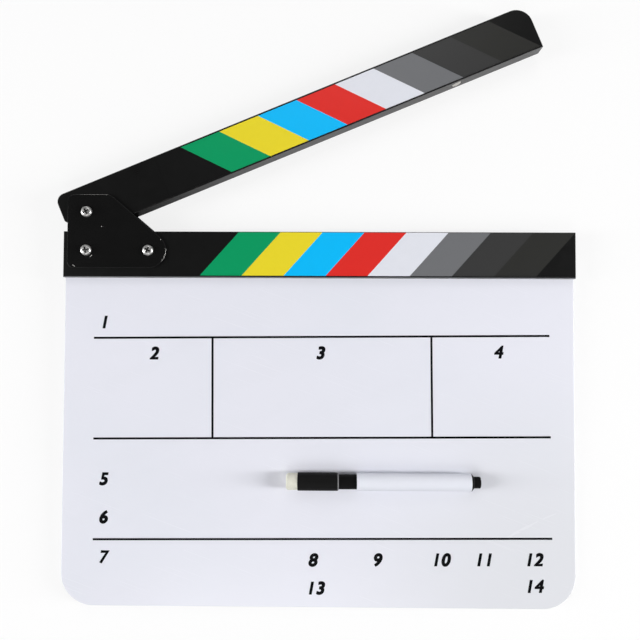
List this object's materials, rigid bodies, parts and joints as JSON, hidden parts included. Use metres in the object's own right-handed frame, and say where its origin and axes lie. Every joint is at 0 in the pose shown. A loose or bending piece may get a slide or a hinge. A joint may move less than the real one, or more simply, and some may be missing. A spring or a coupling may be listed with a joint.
{
  "type": "clapperboard",
  "caption": "Film clapperboard: a white dry-erase slate held in a slotted bar, a hinged clap stick with colour stripes, and a capped marker with a felt eraser lying on the face.",
  "frame": {"origin": "middle of the slate's bottom edge, half way through the sheet", "axes": "+X along the sticks away from the hinge, +Y up the slate towards the sticks, +Z out of the written face; the part lies on its back with -Z down"},
  "size_m": [0.3042, 0.3509, 0.0238],
  "materials": {
    "board_white": "smooth white acrylic with a soft gloss",
    "stick_black": "satin black paint on wood",
    "stripe_print": "printed film with slanting colour bars",
    "plate_black": "satin black powder coat on steel",
    "fastener_steel": "bright zinc-plated steel",
    "washer_nylon": "natural nylon",
    "magnet_nickel": "nickel-plated magnet",
    "pen_white": "white moulded plastic",
    "pen_black": "black moulded plastic",
    "ink_fibre": "ink-soaked fibre",
    "eraser_felt": "cream pressed felt"
  },
  "bodies": {
    "slate": {"slate_board": "board_white", "lower_stick": "stick_black", "lower_stripe_film": "stripe_print", "front_hinge_plate": "plate_black", "rear_hinge_plate": "plate_black", "pivot_screw": "fastener_steel", "pivot_lock_nut": "fastener_steel", "pivot_washers": "washer_nylon", "fixing_screws": "fastener_steel", "fixing_nuts": "fastener_steel", "lower_magnet": "magnet_nickel"},
    "clap": {"upper_stick": "stick_black", "upper_stripe_film": "stripe_print", "upper_magnet": "magnet_nickel"},
    "pen": {"pen_barrel": "pen_white", "pen_grip": "pen_black", "pen_nib": "ink_fibre", "pen_ink_core": "ink_fibre", "pen_end_plug": "pen_black"},
    "cap": {"pen_cap": "pen_black", "pen_eraser": "eraser_felt"}
  },
  "joints": [
    {"name": "clap_hinge", "type": "hinge", "parent": "slate", "child": "clap", "pos_m": [-0.136, 0.23, 0], "axis": [0, 0, 1], "range_deg": [-22.5, 27.5]},
    {"name": "pen_lift", "type": "slide", "parent": "slate", "child": "pen", "axis": [0, 0, 1], "range_m": [0, 0.12]},
    {"name": "cap_pull", "type": "slide", "parent": "pen", "child": "cap", "axis": [-1, 0, 0], "range_m": [0, 0.04]}
  ]
}
